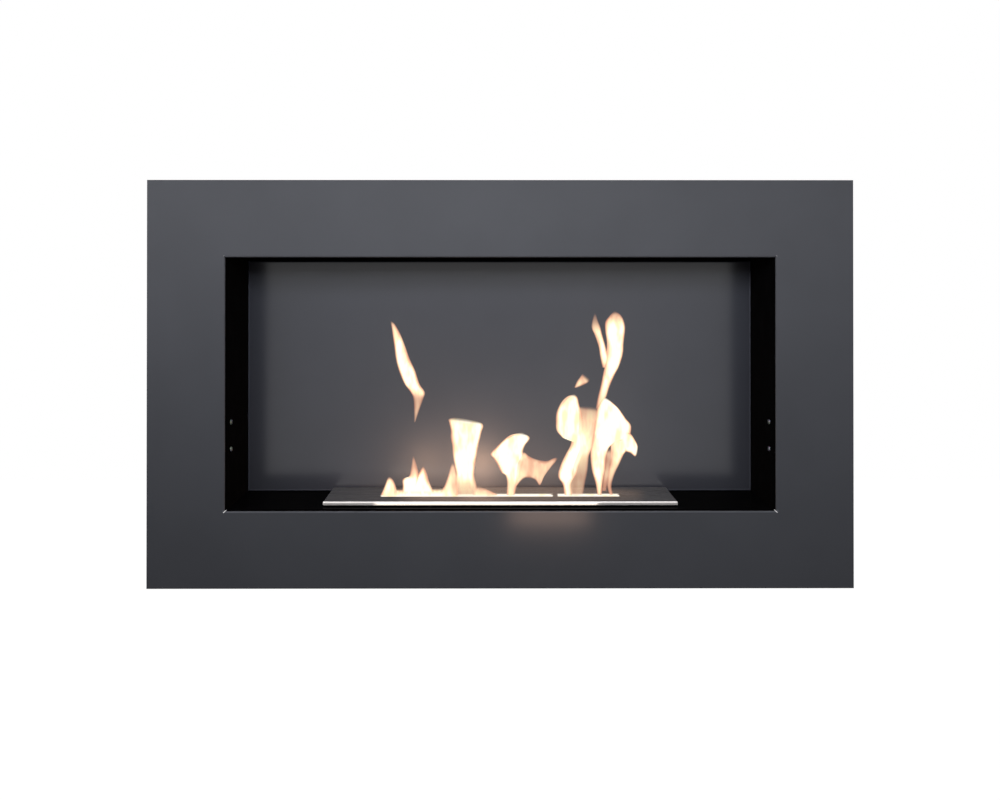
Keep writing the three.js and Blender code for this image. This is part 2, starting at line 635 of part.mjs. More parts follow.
const tankInnerWidth = TANK_WIDTH - 2 * TANK_SHEET;
const tankInnerDepth = TANK_DEPTH - 2 * TANK_SHEET;

function burnerTank() {
  const tray = foldedTray(TANK_WIDTH, TANK_DEPTH, TANK_HEIGHT, TANK_SHEET);
  const flangeInset = 2 * (PLATE_SHEET + FLANGE_CLEARANCE);
  const flange = alongY(
    rectangle(PLATE_WIDTH - flangeInset, PLATE_DEPTH - flangeInset),
    TANK_HEIGHT - TANK_SHEET,
    TANK_HEIGHT,
  );
  const mouth = alongY(
    rectangle(tankInnerWidth, tankInnerDepth),
    TANK_SHEET + INNER_BEND,
    TANK_HEIGHT + OVERCUT,
  );
  const mesh = piece('burner_tank', cut(join(tray, flange), mouth), brushedSteel, [0, 0, TANK_BASE]);
  mesh.rotation.x = Math.PI / 2;
  return mesh;
}

function absorbentWool() {
  const base = TANK_BASE + TANK_SHEET + SEAT_GAP;
  const top = GRILLE_TOP - GRILLE_SHEET - SEAT_GAP;
  const outline = rectangle(tankInnerWidth - 2 * WOOL_SIDE_GAP, tankInnerDepth - 2 * WOOL_SIDE_GAP);
  return piece('absorbent_wool', alongZ(outline, base, top), ceramicWool);
}

// The perforated cover that holds the wool down, with holes in staggered rows.
function woolGrille() {
  const width = tankInnerWidth - 2 * SEAT_GAP;
  const depth = tankInnerDepth - 2 * SEAT_GAP;
  const sheet = alongZ(rectangle(width, depth), GRILLE_TOP - GRILLE_SHEET, GRILLE_TOP);
  const rowPitch = GRILLE_PITCH * Math.sin(Math.PI / 3);
  const reach = depth / 2 - GRILLE_MARGIN;
  const rows = Math.floor((2 * reach) / rowPitch);
  const holes = [];
  for (let row = 0; row <= rows; row += 1) {
    const columns = Math.floor((width - 2 * GRILLE_MARGIN) / GRILLE_PITCH) - (row % 2);
    for (let column = 0; column <= columns; column += 1) {
      const x = (column - columns / 2) * GRILLE_PITCH;
      const y = (row - rows / 2) * rowPitch;
      holes.push(bar('z', GRILLE_HOLE_RADIUS, HOLE_REACH, x, y, GRILLE_TOP, 6));
    }
  }
  return piece('wool_grille', sheet.subtract(wasm.Manifold.union(holes)), brushedSteel);
}

// A stepped strip under the plate. Its shelf carries one end of the shutter, which slides front to back.
function shutterGuide(name, side) {
  const shelfTop = UNDER_PLATE - SHUTTER_SHEET - SEAT_GAP;
  const shelfEnd = SHUTTER_HALF + SEAT_GAP;
  const section = [
    [shelfEnd - GUIDE_SHELF, shelfTop],
    [shelfEnd, shelfTop],
    [shelfEnd, UNDER_PLATE],
    [shelfEnd + GUIDE_FLANGE, UNDER_PLATE],
    [shelfEnd + GUIDE_FLANGE, UNDER_PLATE - GUIDE_SHEET],
    [shelfEnd + GUIDE_SHEET, UNDER_PLATE - GUIDE_SHEET],
    [shelfEnd + GUIDE_SHEET, shelfTop - GUIDE_SHEET],
    [shelfEnd - GUIDE_SHELF, shelfTop - GUIDE_SHEET],
  ].map(([x, z]) => new THREE.Vector2(side * x, z));
  const front = SHUTTER_SHUT - GUIDE_END_GAP;
  const back = SHUTTER_FRONT + SHUTTER_WIDTH + GUIDE_END_GAP;
  return piece(name, alongY(section, front, back), brushedSteel);
}

function shutter() {
  const section = angleSection(SHUTTER_WIDTH, -SHUTTER_SHEET - SHUTTER_LIP, SHUTTER_SHEET);
  const strip = alongX(section, -SHUTTER_HALF, SHUTTER_HALF);
  const lipEnd = SHUTTER_HALF - GUIDE_SHELF - 2 * SEAT_GAP;
  const underside = -SHUTTER_SHEET;
  const trims = [-1, 1].map((side) => sideBlock(
    side,
    lipEnd,
    SHUTTER_HALF + OVERCUT,
    -OVERCUT,
    SHUTTER_SHEET + INNER_BEND + OVERCUT,
    underside - SHUTTER_LIP - OVERCUT,
    underside,
  ));
  return piece('shutter', cut(strip, ...trims), brushedSteel, [0, SHUTTER_FRONT, UNDER_PLATE]);
}

// ---- Assembly -----------------------------------------------------------------------------------------

const burner = new THREE.Group();
burner.position.set(0, BURNER_DEPTH, PLATE_TOP_Z);
burner.add(
  burnerPlate(),
  burnerTank(),
  absorbentWool(),
  woolGrille(),
  shutterGuide('shutter_guide_left', -1),
  shutterGuide('shutter_guide_right', 1),
  shutter(),
);

const unit = new THREE.Group();
unit.name = 'unit';
unit.position.y = -UNIT_DEPTH;
unit.add(
  frontFrame(),
  sideBracket('frame_bracket_left', -1),
  sideBracket('frame_bracket_right', 1),
  crossBracket('frame_bracket_top', 1, CASING_TOP_Z),
  crossBracket('frame_bracket_bottom', -1, CASING_BOTTOM_Z),
  screws(),
  casingSide('casing_side_left', -1),
  casingSide('casing_side_right', 1),
  casingTop(),
  casingBottom(),
  casingBack(),
  hangPlate('hang_plate_left', keyholeX[0]),
  hangPlate('hang_plate_right', keyholeX[1]),
  backPanel(),
  crankedStrip('panel_hanger_left', -hookX, wallStripZ, wallStripY, catchY, 1),
  crankedStrip('panel_hanger_right', hookX, wallStripZ, wallStripY, catchY, 1),
  crankedStrip('panel_hook_left', -hookX, panelStripZ, panelStripY, hookY, -1),
  crankedStrip('panel_hook_right', hookX, panelStripZ, panelStripY, hookY, -1),
  floorPanel(),
  floorLedge('floor_ledge_left', -1),
  floorLedge('floor_ledge_right', 1),
  crossbar('floor_crossbar_front', ledgeFront, BURNER_DEPTH - CUTOUT_DEPTH / 2),
  crossbar('floor_crossbar_rear', ledgeBack, BURNER_DEPTH + CUTOUT_DEPTH / 2),
  burner,
);

const fireplace = new THREE.Group();
fireplace.name = 'bioethanol_fireplace';
fireplace.add(unit);

export default fireplace;
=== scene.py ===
"""Bioethanol fireplace: the finishes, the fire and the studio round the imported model.

Metres, in the model's own frame: +X right, +Z up and the room towards -Y, with the origin on the wall
behind the middle of the frame.
"""

import math

import bpy
import numpy as np
from bpy.props import FloatProperty, FloatVectorProperty, IntProperty, PointerProperty
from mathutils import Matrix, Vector


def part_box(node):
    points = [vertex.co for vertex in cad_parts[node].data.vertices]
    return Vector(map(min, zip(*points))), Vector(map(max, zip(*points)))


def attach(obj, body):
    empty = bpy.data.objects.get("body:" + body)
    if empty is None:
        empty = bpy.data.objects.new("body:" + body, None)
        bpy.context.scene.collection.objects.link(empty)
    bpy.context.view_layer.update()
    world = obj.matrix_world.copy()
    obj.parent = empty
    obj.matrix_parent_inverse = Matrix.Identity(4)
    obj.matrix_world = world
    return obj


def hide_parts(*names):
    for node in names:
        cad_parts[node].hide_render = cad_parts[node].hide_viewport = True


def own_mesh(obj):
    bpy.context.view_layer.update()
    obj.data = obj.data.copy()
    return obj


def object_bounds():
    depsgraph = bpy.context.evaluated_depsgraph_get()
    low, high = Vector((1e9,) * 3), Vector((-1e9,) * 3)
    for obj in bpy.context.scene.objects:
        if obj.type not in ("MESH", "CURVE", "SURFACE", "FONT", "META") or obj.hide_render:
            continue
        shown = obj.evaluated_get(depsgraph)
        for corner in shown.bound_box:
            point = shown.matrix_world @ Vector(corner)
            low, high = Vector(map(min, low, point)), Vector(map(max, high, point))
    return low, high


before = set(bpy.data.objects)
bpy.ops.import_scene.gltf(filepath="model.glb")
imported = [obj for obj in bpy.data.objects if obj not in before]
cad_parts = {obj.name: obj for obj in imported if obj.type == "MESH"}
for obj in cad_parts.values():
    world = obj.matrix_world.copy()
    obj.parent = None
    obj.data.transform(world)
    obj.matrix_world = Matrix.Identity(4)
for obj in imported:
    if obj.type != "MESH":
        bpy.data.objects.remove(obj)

bl_info = {
    "name": "Bioethanol fireplace",
    "version": (1, 0, 0),
    "blender": (4, 5, 0),
    "location": "View3D > Sidebar > Fireplace",
    "description": "Finishes a wall-hung bioethanol fireplace, lights its burner and sets up its studio",
    "category": "Object",
}

MM = 0.001
CAD_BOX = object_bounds()

# The frame and its opening. A side screw's head bears on the opening's wall, and the screw ends SCREW_REACH
# beyond it.
FRONT_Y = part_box("front_frame")[0].y
LIP_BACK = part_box("front_frame")[1].y
SCREW_REACH = 6.2 * MM
OPENING_HALF_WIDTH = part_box("side_screw_right_1")[1].x - SCREW_REACH
OPENING_HALF_HEIGHT = 161.5 * MM

# The burner's plate and its slots, whose ends are given along X.
PLATE_LOW, PLATE_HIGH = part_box("burner_plate")
PLATE_MIDDLE = (PLATE_LOW + PLATE_HIGH) / 2
PLATE_TOP = PLATE_HIGH.z
SLOT_MIDDLE_Y = PLATE_LOW.y + 41.65 * MM
SLOT_HALF_DEPTH = 9.65 * MM
LONG_SLOT = (-158.85 * MM, 70.65 * MM)
SHORT_SLOT = (76.35 * MM, 158.85 * MM)

# Where the coats change: how far the painted highlights on the folds and the black lips reach from the edges
# that they go by, how deep the frame's face is, and how far outside the firebox's inner faces the outer coat
# begins.
PANEL_FOLD_HIGHLIGHT = 2.2 * MM
FRAME_FOLD_HIGHLIGHT = 1.6 * MM
LIP_REACH = 3 * MM
FRAME_FACE = 2.1 * MM
OUTER_START = 0.5 * MM


# ---- Shapes -------------------------------------------------------------------------------------------


def through(stations, count):
    """Values at count even steps along a smooth curve through the stations.

    Between two stations the curve is the cubic that meets both, with half the step between a station's two
    neighbours as its slope there.
    """
    points = np.asarray(stations, float)
    slopes = np.gradient(points, axis=0)
    t = np.linspace(0, len(points) - 1, count)
    i = np.minimum(t.astype(int), len(points) - 2)
    f = (t - i)[:, None]
    start = 2 * f**3 - 3 * f**2 + 1
    leave = f**3 - 2 * f**2 + f
    arrive = f**3 - f**2
    return start * points[i] + leave * slopes[i] + (1 - start) * points[i + 1] + arrive * slopes[i + 1]


def smoothstep(low, high, value):
    """0 below low, 1 above high, and 3t^2 - 2t^3 of the way t between them."""
    t = np.clip((value - low) / (high - low), 0, 1)
    return t * t * (3 - 2 * t)


def ring_faces(rows, ring):
    """Quads between neighbouring rings of a tube of rows rings, and a fan from a pole at each end."""
    r = np.arange(rows - 1)[:, None]
    c = np.arange(ring)[None, :]
    n = (c + 1) % ring
    quads = np.stack([r * ring + c, r * ring + n, (r + 1) * ring + n, (r + 1) * ring + c], -1)
    around = np.arange(ring)
    after = (around + 1) % ring
    first, last = rows * ring, rows * ring + 1
    low = np.stack([after, around, np.full(ring, first)], -1)
    top = (rows - 1) * ring
    high = np.stack([top + around, top + after, np.full(ring, last)], -1)
    return quads.reshape(-1, 4).tolist() + low.tolist() + high.tolist()


def tube_mesh(grid):
    """Vertices and faces of a closed tube from its rings, a (rows, ring, 3) grid, and a pole in each end."""
    rows, ring, _ = grid.shape
    poles = np.stack([grid[0].mean(0), grid[-1].mean(0)])
    return np.concatenate([grid.reshape(-1, 3), poles]), ring_faces(rows, ring)


def make_piece(name, parts, attributes=None):
    """One smooth object from several closed meshes, with a float attribute on the points for each name."""
    vertices, faces, start = [], [], 0
    for points, polygons in parts:
        vertices.append(points)
        faces += [[i + start for i in polygon] for polygon in polygons]
        start += len(points)
    mesh = bpy.data.meshes.new(name)
    mesh.from_pydata(np.concatenate(vertices).tolist(), [], faces)
    for key, values in (attributes or {}).items():
        layer = mesh.attributes.new(key, "FLOAT", "POINT")
        layer.data.foreach_set("value", np.concatenate(values).astype(np.float32))
    mesh.polygons.foreach_set("use_smooth", np.full(len(faces), True))
    mesh.update()
    piece = bpy.data.objects.new(name, mesh)
    bpy.context.scene.collection.objects.link(piece)
    return piece


# ---- Node materials -----------------------------------------------------------------------------------


class Nodes:
    """A material's node tree, with short calls to add nodes and wire them."""

    def __init__(self, name):
        self.material = bpy.data.materials.new(name)
        self.material.use_nodes = True
        self.tree = self.material.node_tree
        self.tree.nodes.clear()
        self.output = self.tree.nodes.new("ShaderNodeOutputMaterial")

    def add(self, kind, inputs=None, **settings):
        """A new node with its settings, and its inputs set to a value or wired to a socket."""
        node = self.tree.nodes.new("ShaderNode" + kind)
        for key, value in settings.items():
            setattr(node, key, value)
        for key, value in (inputs or {}).items():
            if isinstance(value, bpy.types.NodeSocket):
                self.tree.links.new(value, node.inputs[key])
            else:
                node.inputs[key].default_value = value
        return node

    def math(self, operation, first, second=0.0):
        """The result of one Math node."""
        return self.add("Math", {0: first, 1: second}, operation=operation).outputs[0]

    def axes(self):
        """The X, Y and Z of Object coordinates."""
        where = self.add("SeparateXYZ", {"Vector": self.add("TexCoord").outputs["Object"]})
        return where.outputs["X"], where.outputs["Y"], where.outputs["Z"]

    def place(self, scale=(1, 1, 1)):
        """Object coordinates, stretched by scale."""
        where = self.add("TexCoord").outputs["Object"]
        return self.add("Mapping", {"Vector": where, "Scale": scale}).outputs["Vector"]

    def noise(self, place, scale, detail=3.0, roughness=0.55):
        """A noise pattern's value at a place."""
        inputs = {"Vector": place, "Scale": scale, "Detail": detail, "Roughness": roughness}
        return self.add("TexNoise", inputs).outputs["Fac"]

    def between(self, factor, low, high, low_at=0.0, high_at=1.0):
        """low to high as factor runs from low_at to high_at, and held beyond."""
        inputs = {"Value": factor, "From Min": low_at, "From Max": high_at, "To Min": low, "To Max": high}
        return self.add("MapRange", inputs).outputs["Result"]

    def blend(self, factor, first, second):
        """A colour between first and second."""
        inputs = {"Factor": factor, 6: first, 7: second}
        return self.add("Mix", inputs, data_type="RGBA").outputs[2]

    def ramp(self, factor, stops):
        """A colour from stops of (place, colour)."""
        node = self.add("ValToRGB", {"Fac": factor})
        elements = node.color_ramp.elements
        while len(elements) < len(stops):
            elements.new(0.5)
        for element, (place, colour) in zip(elements, stops):
            element.position = place
            element.color = colour
        return node.outputs["Color"]

    def bump(self, height, strength, distance):
        """A normal pushed about by a height."""
        inputs = {"Height": height, "Strength": strength, "Distance": distance}
        return self.add("Bump", inputs).outputs["Normal"]

    def finish(self, shader):
        """Wires the shader to the output and returns the material."""
        self.tree.links.new(shader.outputs[0], self.output.inputs["Surface"])
        return self.material


def scaled(colour, factor):
    """A colour made lighter or darker."""
    return tuple(min(1.0, c * factor) for c in colour[:3]) + (1.0,)


def powder_coat(nodes, colour):
    """Colour and normal of a fine powder coat: faint clouds, a salt of fine grains, and orange peel."""
    place = nodes.place()
    cloud = nodes.noise(place, scale=9.0, detail=2.0)
    grain = nodes.noise(place, scale=2600.0, detail=2.0)
    clouding = nodes.between(cloud, 0.0, 1.0, low_at=0.35, high_at=0.65)
    tone = nodes.blend(clouding, scaled(colour, 0.965), scaled(colour, 1.035))
    salt = nodes.between(grain, 0.0, 0.16, low_at=0.5, high_at=0.78)
    tone = nodes.blend(salt, tone, scaled(colour, 1.9))
    peel = nodes.noise(place, scale=900.0, detail=3.0)
    return tone, nodes.bump(peel, strength=0.12, distance=0.1 * MM)


def graphite_coat(colour, roughness):
    """The back panel's graphite powder coat: satin, with a painted highlight on the folds at its sides and
    foot.

    The gloss shows the white room, and near the panel's edges it shows the black walls and floor instead.
    """
    nodes = Nodes("graphite_coat")
    tone, normal = powder_coat(nodes, colour)
    low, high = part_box("back_panel")
    x, _, z = nodes.axes()
    # Painted highlight: the folds at the panel's sides and foot are coloured paler, in place of the light
    # their bends catch.
    beyond_x = nodes.math("GREATER_THAN", nodes.math("ABSOLUTE", x), high.x - PANEL_FOLD_HIGHLIGHT)
    below = nodes.math("LESS_THAN", z, low.z + PANEL_FOLD_HIGHLIGHT)
    tone = nodes.blend(nodes.math("MAXIMUM", beyond_x, below), tone, scaled(colour, 1.9))
    shader = nodes.add("BsdfPrincipled", {
        "Base Color": tone, "Roughness": roughness, "Normal": normal, "Specular IOR Level": 0.46,
    })
    return nodes.finish(shader)


def frame_coat(colour, roughness, black):
    """The frame's graphite powder coat: a painted highlight on the bend below the opening, black on the lips
    behind it.

    The bend lies along the opening's lower edge, and its painted highlight stands in for the light it
    catches from above. The lips are what stands behind the frame's face no further than LIP_REACH outside
    the opening.
    """
    nodes = Nodes("frame_coat")
    tone, normal = powder_coat(nodes, colour)
    x, y, z = nodes.axes()
    inside_x = nodes.math("LESS_THAN", nodes.math("ABSOLUTE", x), OPENING_HALF_WIDTH + LIP_REACH)
    behind = nodes.math("GREATER_THAN", y, FRONT_Y + FRAME_FACE)
    # Painted highlight: the fold along the opening's lower edge is coloured paler, in place of the light its
    # bend catches from above.
    below = nodes.math("ABSOLUTE", nodes.math("ADD", z, OPENING_HALF_HEIGHT))
    fold_highlight = nodes.math("MULTIPLY", inside_x, nodes.math("LESS_THAN", below, FRAME_FOLD_HIGHLIGHT))
    tone = nodes.blend(fold_highlight, tone, scaled(colour, 1.7))
    inside_z = nodes.math("LESS_THAN", nodes.math("ABSOLUTE", z), OPENING_HALF_HEIGHT + LIP_REACH)
    lips = nodes.math("MULTIPLY", behind, nodes.math("MULTIPLY", inside_x, inside_z))
    coat = nodes.add("BsdfPrincipled", {
        "Base Color": tone, "Roughness": roughness, "Normal": normal, "Specular IOR Level": 0.12,
    })
    lining = nodes.add("BsdfDiffuse", {"Color": black})
    return nodes.finish(nodes.add("MixShader", {0: lips, 1: coat.outputs[0], 2: lining.outputs[0]}))


def black_coat(name, colour, gloss, roughness, outer=None):
    """Heat-resistant black: a dull coat with faint rubs, and a thin sheen over it.

    Where an outer colour is given, the sheets have it outside the firebox, which is beyond the inner
    faces of the walls, the ceiling and the floor, and on the wall side of the back.
    """
    nodes = Nodes(name)
    place = nodes.place()
    rubs = nodes.noise(place, scale=34.0, detail=4.0, roughness=0.7)
    rubbed = nodes.between(rubs, 0.0, 1.0, low_at=0.45, high_at=0.75)
    tone = nodes.blend(rubbed, colour, scaled(colour, 1.6))
    share = gloss
    if outer:
        x, y, z = nodes.axes()
        beyond_x = nodes.math("GREATER_THAN", nodes.math("ABSOLUTE", x), OPENING_HALF_WIDTH + OUTER_START)
        beyond_z = nodes.math("GREATER_THAN", nodes.math("ABSOLUTE", z), OPENING_HALF_HEIGHT + OUTER_START)
        behind = nodes.math("GREATER_THAN", y, CAD_BOX[1].y - OUTER_START)
        outside = nodes.math("MAXIMUM", behind, nodes.math("MAXIMUM", beyond_x, beyond_z))
        flecks = nodes.noise(place, scale=1900.0, detail=2.0)
        flecked = nodes.between(flecks, 0.0, 0.5, low_at=0.5, high_at=0.75)
        tone = nodes.blend(outside, tone, nodes.blend(flecked, outer, scaled(outer, 1.9)))
        share = nodes.between(outside, gloss, 0.02)
    normal = nodes.bump(nodes.noise(place, scale=800.0, detail=2.0), strength=0.1, distance=0.1 * MM)
    dull = nodes.add("BsdfDiffuse", {"Color": tone, "Normal": normal})
    rough = nodes.between(rubs, roughness * 1.1, roughness * 0.9, low_at=0.4, high_at=0.7)
    sheen = nodes.add("BsdfGlossy", {"Color": (1, 1, 1, 1), "Roughness": rough, "Normal": normal})
    return nodes.finish(nodes.add("MixShader", {0: share, 1: dull.outputs[0], 2: sheen.outputs[0]}))


def brushed_steel(colour, roughness):
    """Stainless steel brushed along X: long fine streaks in tone, gloss and height, and fewer broad ones.

    Faces that look up are coloured darker as painted shade, and the folded edges stay bright.
    """
    nodes = Nodes("brushed_steel")
    waves = nodes.noise(nodes.place((6, 1, 1)), scale=1.0, detail=0.0)
    streaks = nodes.noise(nodes.place((14, 2600, 2600)), scale=1.0, detail=3.0, roughness=0.6)
    broad = nodes.noise(nodes.place((4, 160, 160)), scale=1.0, detail=2.0)
    streaked = nodes.between(streaks, 0.0, 1.0, low_at=0.3, high_at=0.7)
    tone = nodes.blend(streaked, scaled(colour, 0.86), scaled(colour, 1.1))
    tone = nodes.blend(nodes.between(broad, 0.0, 0.6, low_at=0.35, high_at=0.65), tone, scaled(colour, 0.72))
    # Painted shade: faces whose normal points up are darkened to 0.44 of the steel's colour.
    facing = nodes.add("SeparateXYZ", {"Vector": nodes.add("NewGeometry").outputs["Normal"]}).outputs["Z"]
    tone = nodes.blend(nodes.between(facing, 0.0, 1.0, low_at=0.6, high_at=0.95), tone, scaled(colour, 0.44))
    rough = nodes.between(streaks, roughness - 0.05, roughness + 0.09, low_at=0.3, high_at=0.7)
    height = nodes.math("ADD", streaks, nodes.math("MULTIPLY", waves, 0.1))
    shader = nodes.add("BsdfPrincipled", {
        "Base Color": tone, "Metallic": 1.0, "Roughness": rough,
        "Normal": nodes.bump(height, strength=0.25, distance=0.05 * MM),
    })
    return nodes.finish(shader)


def zinc_plate(name, colour):
    """Dull zinc plate: cloudy crystals and a soft gloss."""
    nodes = Nodes(name)
    place = nodes.place()
    crystals = nodes.add("TexVoronoi", {"Vector": place, "Scale": 420.0}).outputs["Color"]
    cloud = nodes.noise(place, scale=160.0, detail=3.0)
    tone = nodes.blend(0.12, colour, crystals)
    tone = nodes.blend(nodes.between(cloud, 0.0, 0.6, low_at=0.35, high_at=0.7), tone, scaled(colour, 0.78))
    shader = nodes.add("BsdfPrincipled", {
        "Base Color": tone, "Metallic": 1.0,
        "Roughness": nodes.between(cloud, 0.36, 0.52, low_at=0.3, high_at=0.7),
        "Normal": nodes.bump(cloud, strength=0.1, distance=0.1 * MM),
    })
    return nodes.finish(shader)


def wool_fibre(colour):
    """Matted ceramic fibre, a little scorched in patches."""
    nodes = Nodes("wool_fibre")
    fibres = nodes.noise(nodes.place((160, 900, 900)), scale=1.0, detail=4.0, roughness=0.7)
    crossing = nodes.noise(nodes.place((900, 200, 700)), scale=1.0, detail=4.0, roughness=0.7)
    mat = nodes.math("MULTIPLY", fibres, crossing)
    scorch = nodes.noise(nodes.place(), scale=26.0, detail=3.0)
    scorched = (0.34, 0.25, 0.17, 1.0)
    tone = nodes.blend(nodes.between(mat, 0.0, 1.0, low_at=0.12, high_at=0.4), scaled(colour, 0.62), colour)
    tone = nodes.blend(nodes.between(scorch, 0.0, 0.5, low_at=0.45, high_at=0.75), tone, scorched)
    shader = nodes.add("BsdfPrincipled", {
        "Base Color": tone, "Roughness": 0.95, "Specular IOR Level": 0.1,
        "Normal": nodes.bump(mat, strength=0.9, distance=1 * MM),
    })
    return nodes.finish(shader)


def fire(edge, middle, glow, core, strength):
    """A veil of fire: the piece's core attribute colours it, and its veil attribute says how dense it is."""
    nodes = Nodes("fire")
    heat = nodes.add("Attribute", attribute_name="core").outputs["Fac"]
    veil = nodes.add("Attribute", attribute_name="veil").outputs["Fac"]
    flicker = nodes.noise(nodes.place((85, 85, 30)), scale=1.0, detail=2.0)
    heat = nodes.math("ADD", heat, nodes.between(flicker, -0.34, 0.14, low_at=0.34, high_at=0.6))
    colour = nodes.ramp(heat, [(0.0, edge), (0.42, middle), (0.66, glow), (0.92, core)])
    shader = nodes.add("BsdfPrincipled", {
        "Base Color": (0, 0, 0, 1), "Roughness": 1.0, "Specular IOR Level": 0.0,
        "Emission Color": colour, "Emission Strength": strength, "Alpha": veil,
    })
    return nodes.finish(shader)


def dress(material, *names):
    """Gives the named nodes of the model a material."""
    for name in names:
        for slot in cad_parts[name].material_slots:
            slot.material = material


def nodes_starting(*starts):
    """The names of the model's nodes that start with one of these words."""
    return [name for name in sorted(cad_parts) if name.startswith(starts)]


# ---- Settings -----------------------------------------------------------------------------------------


def colour_setting(name, description, default):
    """A colour that a user may change."""
    return FloatVectorProperty(
        name=name, description=description, default=default, size=4, subtype="COLOR", min=0.0, max=1.0
    )


def share_setting(name, description, default):
    """A share from 0 to 1."""
    return FloatProperty(
        name=name, description=description, default=default, subtype="FACTOR", min=0.0, max=1.0
    )


def length_setting(name, description, default):
    """A length of nothing or more."""
    return FloatProperty(name=name, description=description, default=default, min=0.0, unit="LENGTH")


def power_setting(name, description, default):
    """A lamp's power."""
    return FloatProperty(name=name, description=description, default=default, min=0.0, unit="POWER")


class FireplaceFinishes(bpy.types.PropertyGroup):
    """Colours and gloss of the fireplace's metal and wool."""

    graphite: colour_setting("Graphite", "Powder coat of the frame", (0.078, 0.081, 0.094, 1.0))
    panel: colour_setting("Panel", "Powder coat of the back panel", (0.055, 0.059, 0.076, 1.0))
    graphite_roughness: share_setting("Graphite roughness", "How dull the frame's coat is", 0.5)
    panel_roughness: share_setting("Panel roughness", "How dull the panel's coat is", 0.17)
    black: colour_setting("Black", "Coat of the casing and the firebox", (0.003, 0.003, 0.0034, 1.0))
    outside: colour_setting("Outside", "Coat of the casing outside the firebox", (0.026, 0.027, 0.029, 1.0))
    wall_sheen: share_setting("Wall sheen", "Share of gloss on the firebox's walls", 0.001)
    floor_sheen: share_setting("Floor sheen", "Share of gloss on the firebox's floor", 0.014)
    steel: colour_setting("Steel", "Brushed steel of the burner", (0.93, 0.88, 0.86, 1.0))
    steel_roughness: share_setting("Steel roughness", "How dull the brushed steel is", 0.27)
    zinc: colour_setting("Zinc", "Plate of the hidden screws and the hooks", (0.4, 0.41, 0.43, 1.0))
    screws: colour_setting("Screws", "Dark plate of the screws on the walls", (0.144, 0.148, 0.155, 1.0))
    wool: colour_setting("Wool", "Ceramic fibre in the tank", (0.78, 0.75, 0.7, 1.0))


class FireplaceFire(bpy.types.PropertyGroup):
    """The fire's colours, strength and thickness."""

    edge: colour_setting("Edge", "Thin outer edge of a flame", (0.76, 0.36, 0.23, 1.0))
    middle: colour_setting("Middle", "Next to the edge, and thin veils", (1.0, 0.64, 0.41, 1.0))
    glow: colour_setting("Glow", "Between the middle colour and the core", (1.0, 0.84, 0.5, 1.0))
    core: colour_setting("Core", "White-hot core", (1.0, 0.93, 0.8, 1.0))
    strength: FloatProperty(name="Strength", description="How bright the flames are", default=1.25, min=0.0)
    thickness: length_setting("Thickness", "Greatest half depth of a flame", 8 * MM)
    edge_softness: length_setting("Edge softness", "Width over which a flame fades in", 2.8 * MM)
    core_depth: length_setting("Core depth", "Width over which a flame turns white", 5 * MM)
    rows: IntProperty(name="Rows", description="Rings along a flame", default=72, min=8)
    ring: IntProperty(name="Ring", description="Points round a flame", default=32, min=8)


class FireplaceStudio(bpy.types.PropertyGroup):
    """The camera and the lights."""

    camera_place: FloatVectorProperty(
        name="Camera", description="Where the camera stands", default=(-0.0122, FRONT_Y - 1.494, 0.1395),
        size=3, subtype="TRANSLATION",
    )
    lens: FloatProperty(name="Lens", description="Focal length", default=42.264, min=1.0, unit="CAMERA")
    tilt: FloatProperty(
        name="Tilt", description="Camera's upward tilt", default=math.radians(0.331), subtype="ANGLE"
    )
    turn: FloatProperty(
        name="Turn", description="Camera's turn to the left", default=math.radians(-0.232), subtype="ANGLE"
    )
    shift: FloatVectorProperty(
        name="Shift", description="Lens shift that frames the picture", default=(0.0043, -0.13225), size=2
    )
    key_power: power_setting("Key", "The wide softbox over the front of the fireplace", 2.75)
    middle_power: power_setting("Middle", "The narrow softbox in the middle of the key", 0.95)
    rear_power: power_setting("Rear", "The softbox behind the fireplace", 6.0)
    fill: share_setting("Fill", "Even light from all round", 0.1)
    fire_power: power_setting("Fire light", "The fire's light on the panel, the plate and the walls", 0.37)
    spill_power: power_setting("Spill light", "The fire's light on the frame", 0.018)
    glint_power: power_setting("Glint", "The fire's reflection in the plate's front edge", 0.023)
    glow_power: power_setting("Plate glow", "The fire's reflection in the plate", 0.0042)
    floor_drop: length_setting("Floor drop", "How far the floor is below the frame's middle", 1.2)


# ---- The fire -----------------------------------------------------------------------------------------

# Each flame is a list of tongues, and each tongue a list of stations from its root. A station says where
# the left and the right edge are, each as millimetres right of the burner's middle and millimetres above
# the plate, and the heat there, where 1 is white hot and less is a thinner veil.
LEFT_WISP = [
    [(-114, 97, -113, 98, 0.3), (-114, 112, -108, 114, 0.38), (-115, 129, -103, 128, 0.4),
     (-119, 138, -101, 137, 0.75), (-127, 149, -108, 148, 1), (-134, 166, -114, 166, 1),
     (-138, 181, -121, 181, 1), (-140, 196, -127, 198, 1), (-142, 210, -133, 213, 0.9),
     (-144, 224, -140, 226, 0.6), (-146, 232, -145, 232, 0.3)],
]
LEFT_LICKS = [
    [(-158, 0.5, -137, 0.5, 0.9), (-154, 10, -139, 10, 0.85), (-151, 18, -142, 18, 0.85),
     (-149, 24, -146, 24, 0.6)],
    [(-130, 0.5, -109, 0.5, 0.9), (-129, 12, -110, 12, 1), (-129, 21, -109, 22, 1),
     (-121, 25, -109, 28, 0.7), (-118, 35, -110, 34, 0.5), (-116, 52, -115, 52, 0.3)],
    [(-119, 0.5, -87, 0.5, 1), (-114, 15, -94, 15, 1), (-110, 25, -97, 25, 1), (-106, 32, -99, 31, 0.95),
     (-103, 38, -102, 38, 0.7)],
    [(-158, 0.5, -58, 0.5, 0.9), (-156, 4, -60, 4, 0.7), (-150, 6, -65, 7, 0.45), (-137, 8, -75, 8, 0.25)],
    [(-82, 0.5, -56, 0.5, 0.8), (-74, 12, -57, 12, 0.6), (-69, 25, -58, 25, 0.64),
     (-64, 43, -61, 42, 0.35)],
]
